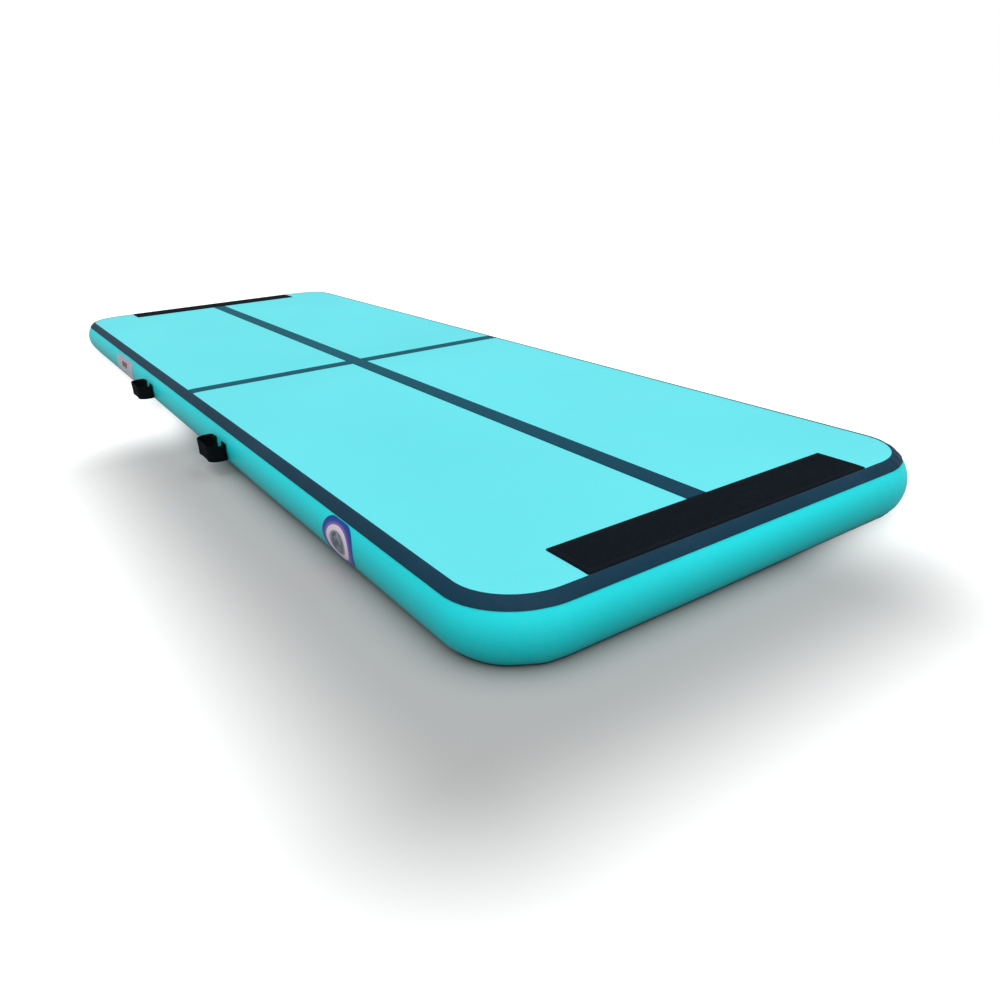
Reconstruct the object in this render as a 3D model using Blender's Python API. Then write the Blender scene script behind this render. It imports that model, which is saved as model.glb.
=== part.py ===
"""Inflatable air track mat: a drop-stitch air chamber with edge tapes, floor lines, hook-and-loop end
panels, four carry handles and a push-open inflation valve.

Frame: metres, +Z up, origin at the middle of the underside. +Y is the mat's length and +X its width.
The chamber is made of a top and a bottom skin, each backed by a woven base fabric, held parallel by
zigzag drop yarns and closed by one side wall band that bulges outward as a circular arc.
"""

from math import asin, atan2, cos, pi, radians, sin, sqrt, tan

import bmesh
import bpy
from mathutils import Matrix, Vector

# ---------------------------------------------------------------- driving dimensions
MAT_LENGTH = 3.000
MAT_WIDTH = 1.000
MAT_HEIGHT = 0.110
WALL_BULGE = 0.029
SHEET_CORNER_RADIUS = 0.1135

TOUCH_GAP = 0.0003
SKIN_THICKNESS = 0.0012
BASE_FABRIC_THICKNESS = 0.0006
WALL_THICKNESS = 0.0015
TAPE_THICKNESS = 0.0006
SHEET_SETBACK = 0.0010
BASE_FABRIC_SETBACK = 0.0040

TAPE_LAP_ON_SKIN = 0.0045
TAPE_DROP_ON_WALL = 0.0213
LOWER_TAPE_RISE_ON_WALL = 0.0070
INNER_TAPE_LAP = 0.0260
INNER_TAPE_DROP = 0.0250

LINE_WIDTH = 0.0440
LINE_THICKNESS = 0.0006
END_PANEL_WIDTH = 0.626
END_PANEL_DEPTH = 0.1028
END_PANEL_THICKNESS = 0.0018
END_PANEL_CORNER_RADIUS = 0.003

YARN_ROWS = 9
YARN_PITCH = 0.050
YARN_THICKNESS = 0.0015
YARN_EDGE_CLEARANCE = 0.040

HANDLE_FRONT_FROM_MIDDLE = -0.345
HANDLE_REAR_FROM_MIDDLE = 0.365
HANDLE_SPAN = 0.115
HANDLE_REACH = 0.040
HANDLE_BEND_RADIUS = 0.022
HANDLE_ROOT_GAP = 0.0032
HANDLE_ROOT_WIDTH = 0.006
HANDLE_TAPER_REACH = 0.0125
WEBBING_WIDTH = 0.036
WEBBING_THICKNESS = 0.0022
ANCHOR_LENGTH = 0.028
ANCHOR_THICKNESS = 0.0024

EMBLEM_FROM_MIDDLE = -1.020
EMBLEM_LENGTH = 0.125
PATCH_TO_TAPE = 0.0020
LABEL_FROM_MIDDLE = 0.710
LABEL_LENGTH = 0.235
LABEL_GIRTH = 0.068
LABEL_CORNER_RADIUS = 0.016
PATCH_THICKNESS = 0.0006
PATCH_LIFT = 0.0004

VALVE_FROM_MIDDLE = 1.100
BOOT_RADIUS = 0.0310
BOOT_PROUD = 0.0015
BARREL_RADIUS = 0.0205
BARREL_BORE = 0.0175
BARREL_DEPTH = 0.0220
FLANGE_RADIUS = 0.0260
FLANGE_THICKNESS = 0.0030
GASKET_THICKNESS = 0.0010
NUT_RADIUS = 0.0270
NUT_DEPTH = 0.0190
SEAT_LIP_RADIUS = 0.0130
SEAT_LIP_DEPTH = 0.0120
SEAT_LIP_THICKNESS = 0.0020
HUB_RADIUS = 0.0055
HUB_THICKNESS = 0.0030
SPOKE_WIDTH = 0.0030
SPOKE_COUNT = 3
STEM_RADIUS = 0.0030
STEM_CLEARANCE = 0.0004
BUTTON_RADIUS = 0.0065
BUTTON_THICKNESS = 0.0020
POPPET_TRAVEL = 0.0050
POPPET_RADIUS = 0.0155
POPPET_THICKNESS = 0.0020
SEAL_THICKNESS = 0.0010
SPRING_WIRE_RADIUS = 0.0004
SPRING_COIL_RADIUS = 0.0047
SPRING_TURNS = 3
COLLAR_THICKNESS = 0.0022
TETHER_THICKNESS = 0.0012
TETHER_WIDTH = 0.0100
HINGE_REACH = 0.0050
CAP_RADIUS = 0.0220
CAP_NECK_RADIUS = 0.0185
CAP_THICKNESS = 0.0031
CAP_PLUG_RADIUS = 0.0154
CAP_PLUG_WALL = 0.0034
CAP_PLUG_DEPTH = 0.0037
CAP_SEAL_RADIUS = 0.0166
CAP_SEAL_WIDTH = 0.0012
CAP_KNOB_LENGTH = 0.0340
CAP_KNOB_WIDTH = 0.0060
CAP_KNOB_HEIGHT = 0.0045

CORNER_STEPS = 8
WALL_STEPS = 14
TAPE_STEPS = 3
ROUND_STEPS = 32
PATCH_STEPS = 12
EDGE_SHARP_ANGLE = radians(35)

# ---------------------------------------------------------------- sizes worked out from them
HALF_HEIGHT = MAT_HEIGHT / 2
SHEET_HALF_X = MAT_WIDTH / 2 - WALL_BULGE
SHEET_HALF_Y = MAT_LENGTH / 2 - WALL_BULGE
WALL_RADIUS = (WALL_BULGE**2 + HALF_HEIGHT**2) / (2 * WALL_BULGE)
WALL_CENTRE = WALL_BULGE - WALL_RADIUS
WALL_HALF_ANGLE = atan2(HALF_HEIGHT, -WALL_CENTRE)
TOP_BASE_Z = MAT_HEIGHT - SKIN_THICKNESS - TOUCH_GAP
BOTTOM_BASE_Z = SKIN_THICKNESS + TOUCH_GAP + BASE_FABRIC_THICKNESS
PATCH_HALF_GIRTH = WALL_RADIUS * WALL_HALF_ANGLE - TAPE_DROP_ON_WALL - PATCH_TO_TAPE
END_PANEL_INNER_Y = SHEET_HALF_Y - TAPE_LAP_ON_SKIN - TOUCH_GAP - END_PANEL_DEPTH
VALVE_SEAT_X = MAT_WIDTH / 2 + BOOT_PROUD
FLANGE_BACK = TOUCH_GAP + GASKET_THICKNESS + TOUCH_GAP
FLANGE_FACE = FLANGE_BACK + FLANGE_THICKNESS
HUB_FACE = -SEAT_LIP_DEPTH + HUB_THICKNESS
TETHER_BACK = FLANGE_FACE + TOUCH_GAP
TETHER_FACE = TETHER_BACK + TETHER_THICKNESS
CAP_BACK = TETHER_FACE + TOUCH_GAP
COLLAR_RADIUS = FLANGE_RADIUS + TOUCH_GAP + COLLAR_THICKNESS
HINGE_Y = -(COLLAR_RADIUS + HINGE_REACH / 2)

# ---------------------------------------------------------------- materials: colour, roughness, metallic
MATERIALS = {
    "aqua_pvc": ((0.17, 0.83, 0.89), 0.45, 0.0),
    "side_pvc": ((0.03, 0.62, 0.66), 0.38, 0.0),
    "navy_tape": ((0.025, 0.045, 0.075), 0.45, 0.0),
    "grey_pvc": ((0.28, 0.31, 0.33), 0.60, 0.0),
    "base_fabric": ((0.78, 0.80, 0.80), 0.85, 0.0),
    "drop_yarn": ((0.85, 0.86, 0.84), 0.80, 0.0),
    "hook_and_loop": ((0.008, 0.010, 0.014), 0.95, 0.0),
    "webbing": ((0.010, 0.011, 0.013), 0.80, 0.0),
    "emblem_film": ((0.05, 0.07, 0.35), 0.35, 0.0),
    "label_film": ((0.80, 0.80, 0.84), 0.35, 0.0),
    "valve_plastic": ((0.05, 0.06, 0.07), 0.35, 0.0),
    "valve_rubber": ((0.02, 0.02, 0.02), 0.70, 0.0),
    "spring_steel": ((0.62, 0.62, 0.64), 0.25, 1.0),
}


def clear_scene():
    for obj in list(bpy.data.objects):
        bpy.data.objects.remove(obj)


def make_materials():
    for name, (colour, roughness, metallic) in MATERIALS.items():
        material = bpy.data.materials.new(name)
        material.use_nodes = True
        shader = material.node_tree.nodes["Principled BSDF"]
        shader.inputs["Base Color"].default_value = (*colour, 1.0)
        shader.inputs["Roughness"].default_value = roughness
        shader.inputs["Metallic"].default_value = metallic


# ---------------------------------------------------------------- modelling helpers
def add_object(name, bm, material, parent=None):
    """One named object from a bmesh, shaded smooth with its real edges kept sharp."""
    bmesh.ops.recalc_face_normals(bm, faces=bm.faces)
    mesh = bpy.data.meshes.new(name)
    bm.to_mesh(mesh)
    bm.free()
    mesh.shade_smooth()
    mesh.set_sharp_from_angle(angle=EDGE_SHARP_ANGLE)
    mesh.materials.append(bpy.data.materials[material])
    obj = bpy.data.objects.new(name, mesh)
    bpy.context.scene.collection.objects.link(obj)
    obj.parent = parent
    return obj


def add_pivot(name, location, parent=None):
    """An empty that marks a joint's axis and carries the pieces that move on it."""
    pivot = bpy.data.objects.new(name, None)
    bpy.context.scene.collection.objects.link(pivot)
    pivot.location = location
    pivot.parent = parent
    return pivot


def helper(obj):
    """Keeps a cutter out of the model."""
    obj.hide_render = True
    obj.display_type = "WIRE"
    return obj


def boolean(target, cutter, operation):
    modifier = target.modifiers.new(cutter.name, "BOOLEAN")
    modifier.object = cutter
    modifier.operation = operation
    modifier.solver = "EXACT"


def rounded_rectangle(half_x, half_y, radius, steps=CORNER_STEPS):
    """Points round a rectangle with arc corners, anticlockwise, each with its outward direction."""
    points = []
    corners = ((1, 1, 0), (-1, 1, 1), (-1, -1, 2), (1, -1, 3))
    for sign_x, sign_y, quarter in corners:
        for step in range(steps + 1):
            angle = (quarter + step / steps) * pi / 2
            outward = Vector((cos(angle), sin(angle)))
            centre = Vector((sign_x * (half_x - radius), sign_y * (half_y - radius)))
            points.append((centre + outward * radius, outward))
    return points


def add_plate(name, outline, low_z, thickness, material):
    """A flat plate: one face on the outline, extruded upward."""
    bm = bmesh.new()
    face = bm.faces.new([bm.verts.new((x, y, low_z)) for x, y in outline])
    made = bmesh.ops.extrude_face_region(bm, geom=[face])
    raised = [item for item in made["geom"] if isinstance(item, bmesh.types.BMVert)]
    bmesh.ops.translate(bm, verts=raised, vec=(0, 0, thickness))
    return add_object(name, bm, material)


def add_swept_ring(name, profile, material):
    """A closed profile of (outward, z) points swept round the skins' outline."""
    bm = bmesh.new()
    stations = []
    for base, outward in rounded_rectangle(SHEET_HALF_X, SHEET_HALF_Y, SHEET_CORNER_RADIUS):
        ring = [bm.verts.new((*(base + outward * u), z)) for u, z in profile]
        stations.append(ring)
    for here, after in zip(stations, stations[1:] + stations[:1]):
        for index in range(len(profile)):
            follow = (index + 1) % len(profile)
            bm.faces.new((here[index], after[index], after[follow], here[follow]))
    return add_object(name, bm, material)


def wall_point(angle, offset=0.0):
    """(outward, z) of the side wall's outer face at an angle above its mid-height, moved out by offset."""
    reach = WALL_RADIUS + offset
    return WALL_CENTRE + reach * cos(angle), HALF_HEIGHT + reach * sin(angle)


def wall_arc(start, end, steps, offset):
    return [wall_point(start + (end - start) * step / steps, offset) for step in range(steps + 1)]


def turned_into(bm, profile, steps=ROUND_STEPS):
    """Turns (radius, along) points about the local X axis; a point of radius 0 becomes one vertex."""
    columns = []
    for radius, along in profile:
        if radius == 0:
            columns.append([bm.verts.new((along, 0, 0))] * steps)
        else:
            turn = [2 * pi * step / steps for step in range(steps)]
            columns.append([bm.verts.new((along, radius * cos(a), radius * sin(a))) for a in turn])
    closed = profile[0][0] != 0
    pairs = list(zip(columns, columns[1:]))
    if closed:
        pairs.append((columns[-1], columns[0]))
    for first, second in pairs:
        for step in range(steps):
            after = (step + 1) % steps
            corners = [first[step], first[after], second[after], second[step]]
            bm.faces.new(list(dict.fromkeys(corners)))


def add_turned(name, profile, material, parent, steps=ROUND_STEPS):
    bm = bmesh.new()
    turned_into(bm, profile, steps)
    return add_object(name, bm, material, parent)


def add_block(name, low, high, material, parent=None):
    bm = bmesh.new()
    bmesh.ops.create_cube(bm, size=1.0)
    middle = (Vector(low) + Vector(high)) / 2
    size = Vector(high) - Vector(low)
    bmesh.ops.transform(bm, verts=bm.verts, matrix=Matrix.Translation(middle) @ Matrix.Diagonal((*size, 1)))
    return add_object(name, bm, material, parent)


# ---------------------------------------------------------------- air chamber
def sheet_outline(setback):
    half_x = SHEET_HALF_X - setback
    half_y = SHEET_HALF_Y - setback
    return [point for point, _ in rounded_rectangle(half_x, half_y, SHEET_CORNER_RADIUS - setback)]


def add_skins():
    skin = sheet_outline(SHEET_SETBACK)
    fabric = sheet_outline(BASE_FABRIC_SETBACK)
    add_plate("top_skin", skin, MAT_HEIGHT - SKIN_THICKNESS, SKIN_THICKNESS, "aqua_pvc")
    add_plate("bottom_skin", skin, 0.0, SKIN_THICKNESS, "grey_pvc")
    low = TOP_BASE_Z - BASE_FABRIC_THICKNESS
    add_plate("top_base_fabric", fabric, low, BASE_FABRIC_THICKNESS, "base_fabric")
    low = BOTTOM_BASE_Z - BASE_FABRIC_THICKNESS
    add_plate("bottom_base_fabric", fabric, low, BASE_FABRIC_THICKNESS, "base_fabric")


def add_side_wall():
    """The band between the skins, bulged to a circular arc, with the hole that the valve passes through."""
    outside = wall_arc(WALL_HALF_ANGLE, -WALL_HALF_ANGLE, WALL_STEPS, 0.0)
    inside = wall_arc(-WALL_HALF_ANGLE, WALL_HALF_ANGLE, WALL_STEPS, -WALL_THICKNESS)
    wall = add_swept_ring("side_wall", outside + inside, "side_pvc")
    hole_radius = BARREL_RADIUS + TOUCH_GAP
    deep = -WALL_BULGE
    profile = [(0, deep), (hole_radius, deep), (hole_radius, BOOT_PROUD), (0, BOOT_PROUD)]
    drill = helper(add_turned("valve_hole_drill", profile, "side_pvc", add_pivot("valve_hole_axis", valve_seat())))
    boolean(wall, drill, "DIFFERENCE")


def upper_tape_profile():
    """Tape over the upper seam: a short lap on the skin, then a drop down the wall."""
    drop_angle = TAPE_DROP_ON_WALL / WALL_RADIUS
    lap = TAPE_LAP_ON_SKIN
    crease = (pi / 2 - WALL_HALF_ANGLE) / 2
    inner_offset = TOUCH_GAP
    outer_offset = TOUCH_GAP + TAPE_THICKNESS
    first = WALL_HALF_ANGLE - drop_angle / TAPE_STEPS
    last = WALL_HALF_ANGLE - drop_angle
    outer = wall_arc(first, last, TAPE_STEPS - 1, outer_offset)
    inner = wall_arc(last, first, TAPE_STEPS - 1, inner_offset)
    top_outer = [(-lap, MAT_HEIGHT + outer_offset), (outer_offset * tan(crease), MAT_HEIGHT + outer_offset)]
    top_inner = [(inner_offset * tan(crease), MAT_HEIGHT + inner_offset), (-lap, MAT_HEIGHT + inner_offset)]
    return top_outer + outer + inner + top_inner


def lower_tape_profile():
    """The lower tape stays on the wall, so that the mat rests on its flat underside."""
    start = -asin(HALF_HEIGHT / (WALL_RADIUS + TOUCH_GAP + TAPE_THICKNESS))
    end = -WALL_HALF_ANGLE + LOWER_TAPE_RISE_ON_WALL / WALL_RADIUS
    outer = wall_arc(start, end, TAPE_STEPS, TOUCH_GAP + TAPE_THICKNESS)
    inner = wall_arc(end, start, TAPE_STEPS, TOUCH_GAP)
    return outer + inner


def inner_tape_profile(flip):
    """Seam tape inside the chamber, from the base fabric down the inside of the wall."""
    layers = []
    ceiling = TOP_BASE_Z - BASE_FABRIC_THICKNESS - TOUCH_GAP
    for depth in (0.0, TAPE_THICKNESS):
        offset = -(WALL_THICKNESS + TOUCH_GAP + depth)
        level = ceiling - depth
        corner = atan2(level - HALF_HEIGHT, sqrt((WALL_RADIUS + offset) ** 2 - (level - HALF_HEIGHT) ** 2))
        end = corner - INNER_TAPE_DROP / WALL_RADIUS
        layers.append([(-INNER_TAPE_LAP, level)] + wall_arc(corner, end, TAPE_STEPS, offset))
    profile = layers[0] + layers[1][::-1]
    return [(u, MAT_HEIGHT - z) for u, z in profile] if flip else profile


def add_tapes():
    add_swept_ring("top_edge_tape", upper_tape_profile(), "navy_tape")
    add_swept_ring("bottom_edge_tape", lower_tape_profile(), "navy_tape")
    add_swept_ring("inner_top_seam_tape", inner_tape_profile(False), "side_pvc")
    add_swept_ring("inner_bottom_seam_tape", inner_tape_profile(True), "side_pvc")


def add_drop_yarns():
    """Rows of pile yarn that zigzag between the two base fabrics and hold the mat flat under pressure."""
    low = BOTTOM_BASE_Z + TOUCH_GAP
    high = TOP_BASE_Z - BASE_FABRIC_THICKNESS - TOUCH_GAP - YARN_THICKNESS
    half = SHEET_HALF_X - YARN_EDGE_CLEARANCE
    count = 2 * round(half / YARN_PITCH)
    step_x = half / (count / 2)
    for row in range(YARN_ROWS):
        y = (row - (YARN_ROWS - 1) / 2) * 2 * SHEET_HALF_Y / (YARN_ROWS + 0.5)
        line = [((index - count / 2) * step_x, high if index % 2 else low) for index in range(count + 1)]
        raised = [(x, z + YARN_THICKNESS) for x, z in line]
        bm = bmesh.new()
        for (ax, az), (bx, bz) in zip(raised, raised[1:]):
            corners = ((ax, az), (bx, bz), (bx, bz - YARN_THICKNESS), (ax, az - YARN_THICKNESS))
            bm.faces.new([bm.verts.new((x, y - YARN_THICKNESS / 2, z)) for x, z in corners])
        bmesh.ops.remove_doubles(bm, verts=bm.verts, dist=TOUCH_GAP / 3)
        made = bmesh.ops.extrude_face_region(bm, geom=list(bm.faces))
        moved = [item for item in made["geom"] if isinstance(item, bmesh.types.BMVert)]
        bmesh.ops.translate(bm, verts=moved, vec=(0, YARN_THICKNESS, 0))
        add_object(f"drop_yarn_{row + 1}", bm, "drop_yarn")


# ---------------------------------------------------------------- floor lines and end panels
def add_rectangle(name, low, high, z, thickness, material):
    outline = [(low[0], low[1]), (high[0], low[1]), (high[0], high[1]), (low[0], high[1])]
    return add_plate(name, outline, z, thickness, material)


def add_floor_lines():
    z = MAT_HEIGHT + TOUCH_GAP
    half = LINE_WIDTH / 2
    reach_y = END_PANEL_INNER_Y - TOUCH_GAP
    reach_x = SHEET_HALF_X - TAPE_LAP_ON_SKIN - TOUCH_GAP
    beside = half + TOUCH_GAP
    add_rectangle("centre_line", (-half, -reach_y), (half, reach_y), z, LINE_THICKNESS, "navy_tape")
    add_rectangle("cross_line_left", (-reach_x, -half), (-beside, half), z, LINE_THICKNESS, "navy_tape")
    add_rectangle("cross_line_right", (beside, -half), (reach_x, half), z, LINE_THICKNESS, "navy_tape")


def add_end_panels():
    """Hook-and-loop panels on top of both short ends, where another mat is joined on."""
    middle = END_PANEL_INNER_Y + END_PANEL_DEPTH / 2
    for name, side in (("front_join_panel", -1), ("rear_join_panel", 1)):
        outline = [
            (point.x, point.y + side * middle)
            for point, _ in rounded_rectangle(END_PANEL_WIDTH / 2, END_PANEL_DEPTH / 2, END_PANEL_CORNER_RADIUS, 3)
        ]
        add_plate(name, outline, MAT_HEIGHT + TOUCH_GAP, END_PANEL_THICKNESS, "hook_and_loop")


# ---------------------------------------------------------------- patches that follow the wall
def add_wall_patch(name, side, y, half_length, half_girth, corner_radius, thickness, material):
    """A thin patch wrapped on the long wall of one side (-1 left, 1 right), lofted up the wall's arc."""
    bm = bmesh.new()
    sections = []
    for step in range(PATCH_STEPS + 1):
        girth = -half_girth * cos(pi * step / PATCH_STEPS)
        into_corner = max(0.0, abs(girth) - half_girth + corner_radius)
        half = half_length - corner_radius + sqrt(max(0.0, corner_radius**2 - into_corner**2))
        section = []
        for end, offset in ((-1, PATCH_LIFT), (1, PATCH_LIFT), (1, PATCH_LIFT + thickness), (-1, PATCH_LIFT + thickness)):
            u, z = wall_point(girth / WALL_RADIUS, offset)
            section.append(bm.verts.new((side * (SHEET_HALF_X + u), y + end * half, z)))
        sections.append(section)
    for here, after in zip(sections, sections[1:]):
        for index in range(4):
            follow = (index + 1) % 4
            bm.faces.new((here[index], after[index], after[follow], here[follow]))
    bm.faces.new(sections[0])
    bm.faces.new(sections[-1])
    return add_object(name, bm, material)


def add_side_patches():
    oval_radius = min(PATCH_HALF_GIRTH, EMBLEM_LENGTH / 2) - TOUCH_GAP
    add_wall_patch("side_emblem", -1, EMBLEM_FROM_MIDDLE, EMBLEM_LENGTH / 2, PATCH_HALF_GIRTH,
                   oval_radius, PATCH_THICKNESS, "emblem_film")
    add_wall_patch("side_label", -1, LABEL_FROM_MIDDLE, LABEL_LENGTH / 2, LABEL_GIRTH / 2,
                   LABEL_CORNER_RADIUS, PATCH_THICKNESS, "label_film")


# ---------------------------------------------------------------- carry handles
def strap_path():
    """Middle line of the webbing loop as (outward from the wall, along Y): out, round, across, round and back."""
    half = HANDLE_SPAN / 2 - WEBBING_THICKNESS / 2
    reach = HANDLE_REACH - WEBBING_THICKNESS / 2
    bend = HANDLE_BEND_RADIUS
    steps = 6
    path = [(HANDLE_ROOT_GAP, -half), (HANDLE_TAPER_REACH, -half)]
    for step in range(steps + 1):
        angle = pi / 2 * step / steps
        path.append((reach - bend + bend * sin(angle), -half + bend - bend * cos(angle)))
    return path + [(u, -y) for u, y in reversed(path)]


def add_strap(name, pivot, side):
    """A band of webbing along strap_path. It narrows to its pivot at both roots, so that it clears the wall."""
    path = [Vector(point) for point in strap_path()]
    bm = bmesh.new()
    stations = []
    for index, point in enumerate(path):
        before = path[max(index - 1, 0)]
        after = path[min(index + 1, len(path) - 1)]
        along = (after - before).normalized()
        normal = Vector((along.y, -along.x)) * WEBBING_THICKNESS / 2
        width = HANDLE_ROOT_WIDTH if index in (0, len(path) - 1) else WEBBING_WIDTH
        ring = []
        for edge, height in ((point - normal, -1), (point + normal, -1), (point + normal, 1), (point - normal, 1)):
            ring.append(bm.verts.new((side * edge.x, edge.y, height * width / 2)))
        stations.append(ring)
    for here, following in zip(stations, stations[1:]):
        for index in range(4):
            step = (index + 1) % 4
            bm.faces.new((here[index], following[index], following[step], here[step]))
    bm.faces.new(stations[0])
    bm.faces.new(stations[-1])
    return add_object(name, bm, "webbing", pivot)


def add_handles():
    anchor_middle = HANDLE_SPAN / 2 - WEBBING_THICKNESS - TOUCH_GAP - ANCHOR_LENGTH / 2
    for side_name, side in (("left", -1), ("right", 1)):
        for end_name, y in (("front", HANDLE_FRONT_FROM_MIDDLE), ("rear", HANDLE_REAR_FROM_MIDDLE)):
            name = f"{side_name}_{end_name}_handle"
            pivot = add_pivot(f"{name}_axis", (side * MAT_WIDTH / 2, y, HALF_HEIGHT))
            add_strap(f"{name}_strap", pivot, side)
            for tab_name, tab in (("front", -1), ("rear", 1)):
                add_wall_patch(f"{name}_{tab_name}_anchor", side, y + tab * anchor_middle, ANCHOR_LENGTH / 2,
                               WEBBING_WIDTH / 2, WEBBING_THICKNESS, ANCHOR_THICKNESS, "webbing")


# ---------------------------------------------------------------- inflation valve, on the right wall
def valve_seat():
    """The point on the valve's axis at the boot's flat face. The local X axis points out of the mat."""
    return Vector((VALVE_SEAT_X, VALVE_FROM_MIDDLE, HALF_HEIGHT))


def wall_cylinder(name, radius, pivot):
    """The wall's arc as a solid cylinder along Y beside the valve, to cut what sits on or under the wall."""
    half = 2 * BOOT_RADIUS
    centre_x = SHEET_HALF_X + WALL_CENTRE - VALVE_SEAT_X
    bm = bmesh.new()
    turned_into(bm, [(0, -half), (radius, -half), (radius, half), (0, half)], 96)
    bmesh.ops.rotate(bm, verts=bm.verts, matrix=Matrix.Rotation(pi / 2, 3, "Z"))
    bmesh.ops.translate(bm, verts=bm.verts, vec=(centre_x, 0, 0))
    return helper(add_object(name, bm, "side_pvc", pivot))


def ring(inner, outer, low, high):
    return [(inner, low), (outer, low), (outer, high), (inner, high)]


def add_valve_seat_parts(pivot):
    hole = BARREL_RADIUS + TOUCH_GAP
    outside = wall_cylinder("wall_outside_form", WALL_RADIUS + TOUCH_GAP, pivot)
    inside = wall_cylinder("wall_inside_form", WALL_RADIUS - WALL_THICKNESS - TOUCH_GAP, pivot)
    boot = add_turned("valve_boot", ring(hole, BOOT_RADIUS, -NUT_DEPTH, 0.0), "side_pvc", pivot)
    boolean(boot, outside, "DIFFERENCE")
    nut = add_turned("valve_clamp_nut", ring(hole, NUT_RADIUS, -NUT_DEPTH, 0.0), "valve_plastic", pivot)
    boolean(nut, inside, "INTERSECT")
    gasket = ring(hole, FLANGE_RADIUS, TOUCH_GAP, TOUCH_GAP + GASKET_THICKNESS)
    add_turned("valve_gasket", gasket, "valve_rubber", pivot)


def add_valve_body(pivot):
    """Flange and barrel, with the sealing lip and a spoked hub that guides the stem."""
    edge = FLANGE_THICKNESS / 3
    lip_back = -SEAT_LIP_DEPTH - SEAT_LIP_THICKNESS
    profile = [
        (BARREL_BORE, -BARREL_DEPTH), (BARREL_RADIUS, -BARREL_DEPTH), (BARREL_RADIUS, FLANGE_BACK),
        (FLANGE_RADIUS, FLANGE_BACK), (FLANGE_RADIUS, FLANGE_FACE - edge), (FLANGE_RADIUS - edge, FLANGE_FACE),
        (BARREL_BORE, FLANGE_FACE), (BARREL_BORE, -SEAT_LIP_DEPTH), (SEAT_LIP_RADIUS, -SEAT_LIP_DEPTH),
        (SEAT_LIP_RADIUS, lip_back), (BARREL_BORE, lip_back),
    ]
    body = add_turned("valve_body", profile, "valve_plastic", pivot)
    bore = STEM_RADIUS + STEM_CLEARANCE
    hub = helper(add_turned("stem_hub", ring(bore, HUB_RADIUS, -SEAT_LIP_DEPTH, HUB_FACE), "valve_plastic", pivot))
    for index in range(SPOKE_COUNT):
        low = (-SEAT_LIP_DEPTH - SEAT_LIP_THICKNESS / 2, HUB_RADIUS * 0.8, -SPOKE_WIDTH / 2)
        high = (HUB_FACE - HUB_THICKNESS / 3, BARREL_BORE + TOUCH_GAP * 3, SPOKE_WIDTH / 2)
        spoke = helper(add_block(f"hub_spoke_{index + 1}", low, high, "valve_plastic", pivot))
        spoke.rotation_euler.x = 2 * pi * index / SPOKE_COUNT
        boolean(hub, spoke, "UNION")
    boolean(body, hub, "UNION")


def add_poppet(seat):
    """Button, stem and sealing disc in one piece, pushed inward along the valve's axis to let air out."""
    pivot = add_pivot("poppet_axis", seat)
    seal_face = -SEAT_LIP_DEPTH - SEAT_LIP_THICKNESS - TOUCH_GAP
    disc_face = seal_face - SEAL_THICKNESS - TOUCH_GAP
    disc_back = disc_face - POPPET_THICKNESS
    button_back = HUB_FACE + POPPET_TRAVEL + 2 * SPRING_TURNS * SPRING_WIRE_RADIUS
    profile = [
        (0, disc_back), (POPPET_RADIUS, disc_back), (POPPET_RADIUS, disc_face), (STEM_RADIUS, disc_face),
        (STEM_RADIUS, button_back), (BUTTON_RADIUS, button_back), (BUTTON_RADIUS, button_back + BUTTON_THICKNESS),
        (0, button_back + BUTTON_THICKNESS),
    ]
    add_turned("valve_poppet", profile, "valve_plastic", pivot)
    seal = ring(STEM_RADIUS + STEM_CLEARANCE, POPPET_RADIUS, disc_face + TOUCH_GAP, seal_face)
    add_turned("poppet_seal", seal, "valve_rubber", pivot)
    add_spring(pivot, HUB_FACE + TOUCH_GAP, button_back - TOUCH_GAP)


def add_spring(pivot, low, high):
    """Return spring between the hub and the button."""
    steps = 12
    first = low + SPRING_WIRE_RADIUS
    rise = high - low - 2 * SPRING_WIRE_RADIUS
    curve = bpy.data.curves.new("valve_spring", "CURVE")
    curve.dimensions = "3D"
    curve.bevel_depth = SPRING_WIRE_RADIUS
    curve.bevel_resolution = 1
    curve.use_fill_caps = True
    curve.resolution_u = 1
    spline = curve.splines.new("POLY")
    spline.points.add(SPRING_TURNS * steps)
    for index, point in enumerate(spline.points):
        share = index / (SPRING_TURNS * steps)
        angle = 2 * pi * SPRING_TURNS * share
        side = (SPRING_COIL_RADIUS * cos(angle), SPRING_COIL_RADIUS * sin(angle))
        point.co = (first + rise * share, *side, 1)
    curve.materials.append(bpy.data.materials["spring_steel"])
    spring = bpy.data.objects.new("valve_spring", curve)
    bpy.context.scene.collection.objects.link(spring)
    spring.parent = pivot


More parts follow.
